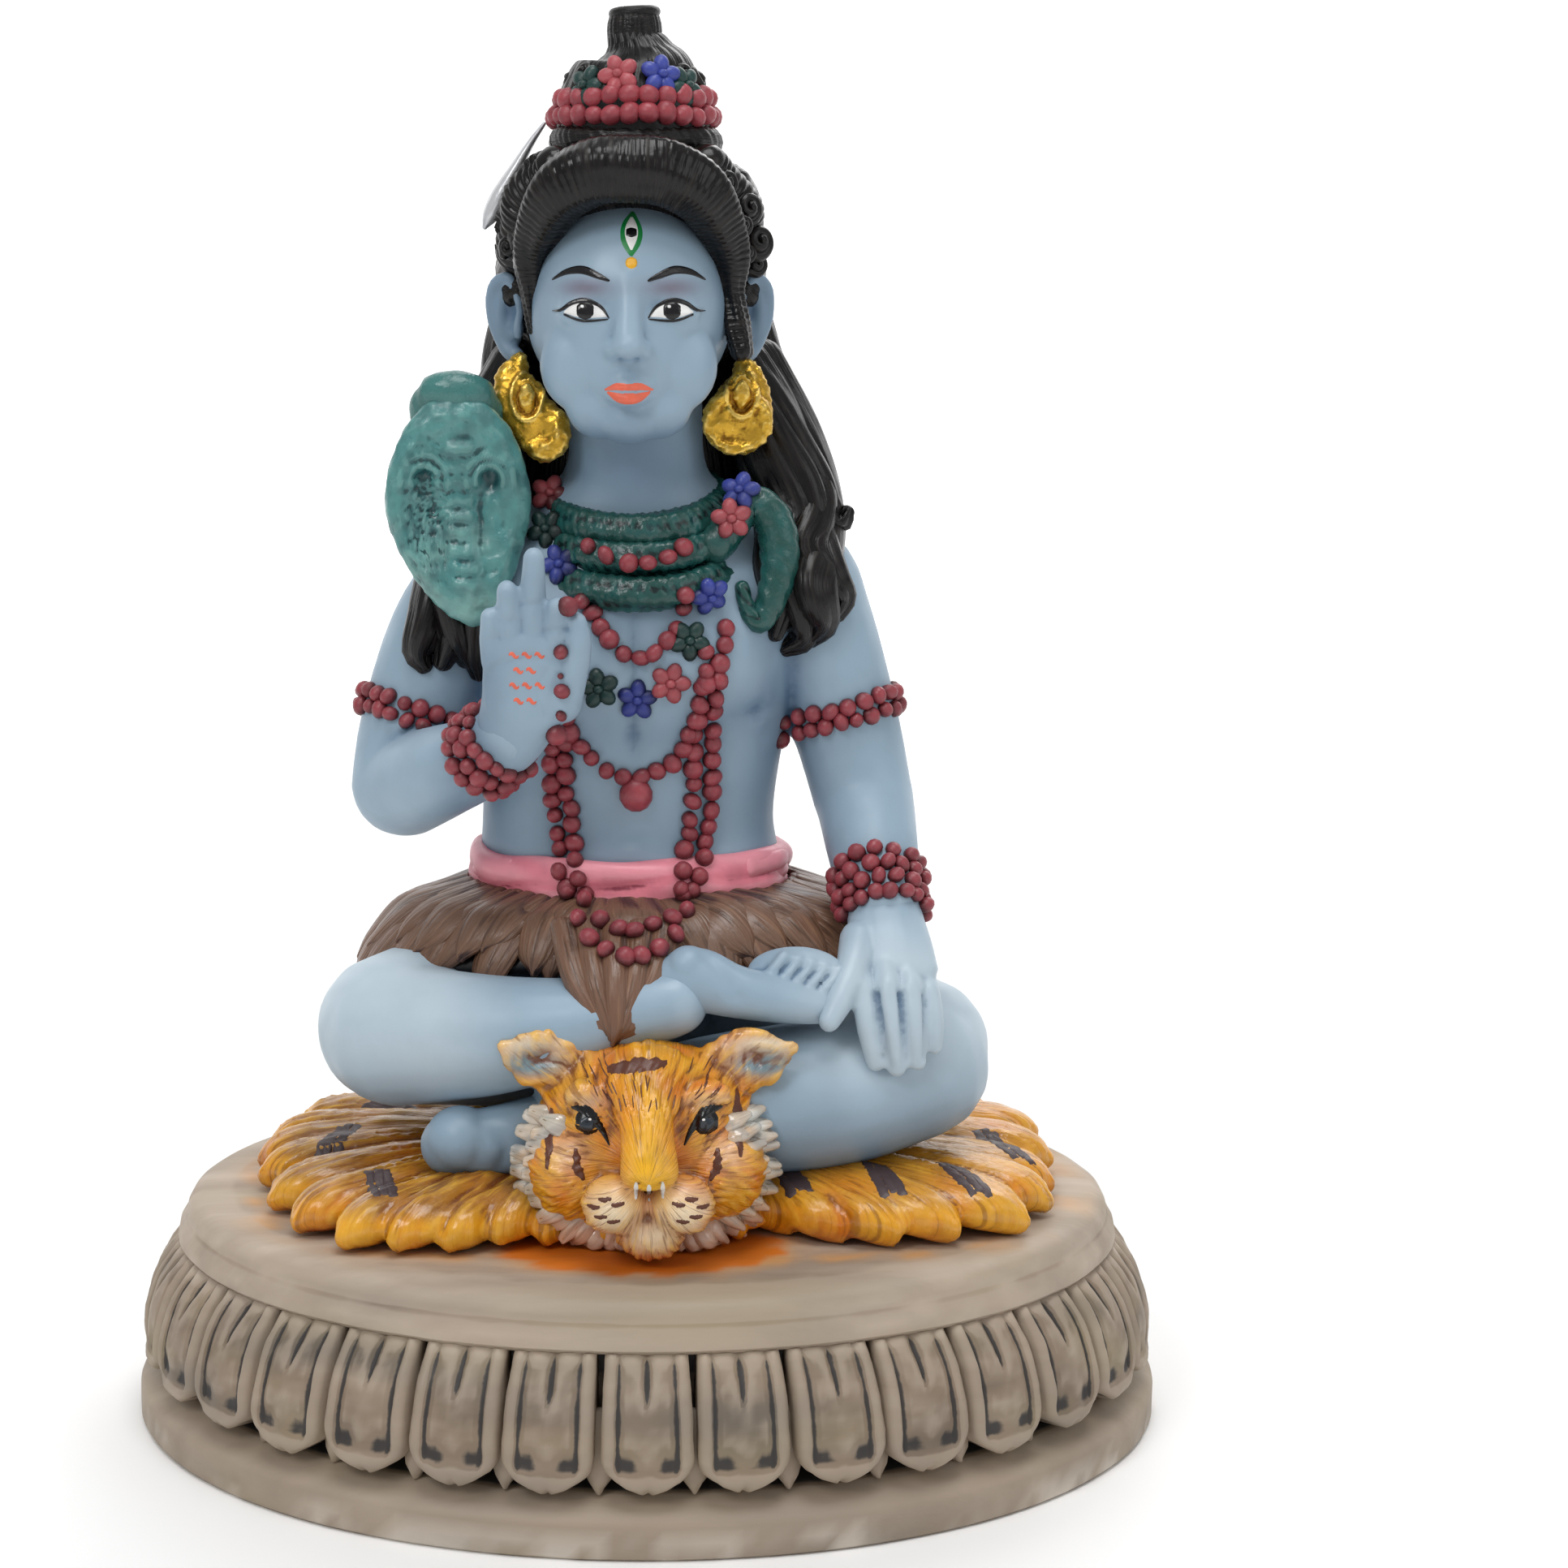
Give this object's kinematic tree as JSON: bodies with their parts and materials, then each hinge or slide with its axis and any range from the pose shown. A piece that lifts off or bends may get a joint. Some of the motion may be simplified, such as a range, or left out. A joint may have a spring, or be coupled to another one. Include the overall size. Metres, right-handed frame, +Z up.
{
  "type": "shiva figure",
  "caption": "Seated cross-legged Shiva on a tiger pelt and an oval lotus plinth, cast in one piece and painted, standing on its flat underside.",
  "frame": {"origin": "centre of the plinth's flat underside", "axes": "+Z up, the figure faces -Y, +X to the viewer's right"},
  "size_m": [0.078, 0.062, 0.105],
  "materials": {
    "painted_resin": "cast polyresin with hand-brushed semi-matte paint"
  },
  "bodies": {
    "root": {"shiva_figure": "painted_resin"}
  },
  "joints": []
}
